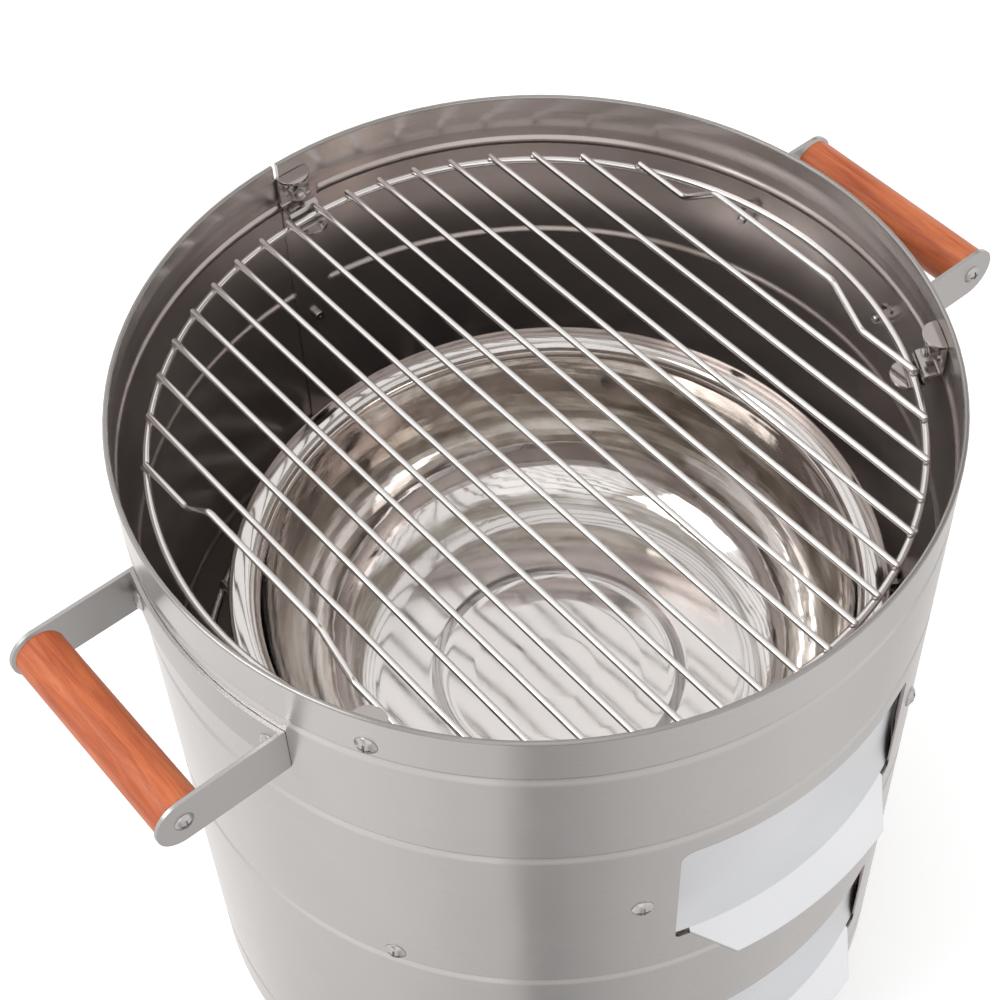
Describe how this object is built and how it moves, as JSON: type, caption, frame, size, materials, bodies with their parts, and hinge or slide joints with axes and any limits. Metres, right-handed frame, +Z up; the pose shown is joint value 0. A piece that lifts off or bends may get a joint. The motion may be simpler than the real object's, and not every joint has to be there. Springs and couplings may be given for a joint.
{
  "type": "barrel charcoal grill",
  "caption": "Stainless drum grill with a lift-out bar grate, a loose polished fire bowl on a lower grate, slide-up access doors and wooden side grips",
  "frame": {"origin": "centre of the base pan's flat underside, on the drum's axis", "axes": "+Z up along the drum's axis, -Y towards the side with the two doors, the handles stand out along +X and -X"},
  "size_m": [0.52, 0.4158, 0.421],
  "materials": {
    "drum_steel": "satin brushed stainless sheet, grain running round the drum",
    "clip_steel": "satin stainless strip, lightly smudged",
    "strap_steel": "satin stainless flat bar",
    "door_steel": "pale smooth stainless sheet",
    "grate_wire": "bright plated wire",
    "polished_bowl": "mirror polished pressed stainless",
    "fasteners": "plain steel screws, nuts, toothed washers and rivets",
    "stained_wood": "orange-red stained hardwood, straight grain, satin"
  },
  "bodies": {
    "drum": {"barrel_shell": "drum_steel", "base_pan": "drum_steel", "seam_rivets": "fasteners", "grate_clip_back": "clip_steel", "grate_clip_left": "clip_steel", "grate_clip_right": "clip_steel", "lower_clip_back": "clip_steel", "lower_clip_left": "clip_steel", "lower_clip_right": "clip_steel", "clip_screws": "fasteners", "clip_star_washers": "fasteners", "clip_nuts": "fasteners", "handle_bracket_left": "strap_steel", "handle_bracket_right": "strap_steel", "handle_grip_left": "stained_wood", "handle_grip_right": "stained_wood", "grip_screws_left": "fasteners", "grip_screws_right": "fasteners", "handle_bolts": "fasteners", "handle_star_washers": "fasteners", "handle_nuts": "fasteners", "upper_door_guide_left": "clip_steel", "upper_door_guide_right": "clip_steel", "lower_door_guide_left": "clip_steel", "lower_door_guide_right": "clip_steel", "guide_screws": "fasteners", "guide_star_washers": "fasteners", "guide_nuts": "fasteners"},
    "cooking_grate": {"grate_ring": "grate_wire", "grate_bars": "grate_wire", "grate_lift_wire_left": "grate_wire", "grate_lift_wire_right": "grate_wire"},
    "lower_grate": {"lower_grate_ring": "grate_wire", "lower_grate_bars": "grate_wire"},
    "bowl": {"fire_bowl": "polished_bowl"},
    "upper_door_slide": {"upper_door": "door_steel"},
    "lower_door_slide": {"lower_door": "door_steel"}
  },
  "joints": [
    {"name": "cooking_grate_lift", "type": "slide", "parent": "drum", "child": "cooking_grate", "axis": [0, 0, 1], "range_m": [0, 0.1]},
    {"name": "lower_grate_lift", "type": "slide", "parent": "drum", "child": "lower_grate", "axis": [0, 0, 1], "range_m": [0, 0.025]},
    {"name": "bowl_lift", "type": "slide", "parent": "lower_grate", "child": "bowl", "axis": [0, 0, 1], "range_m": [0, 0.055]},
    {"name": "upper_door_raise", "type": "slide", "parent": "drum", "child": "upper_door_slide", "axis": [0, 0, 1], "range_m": [0, 0.07]},
    {"name": "lower_door_raise", "type": "slide", "parent": "drum", "child": "lower_door_slide", "axis": [0, 0, 1], "range_m": [0, 0.058]}
  ]
}
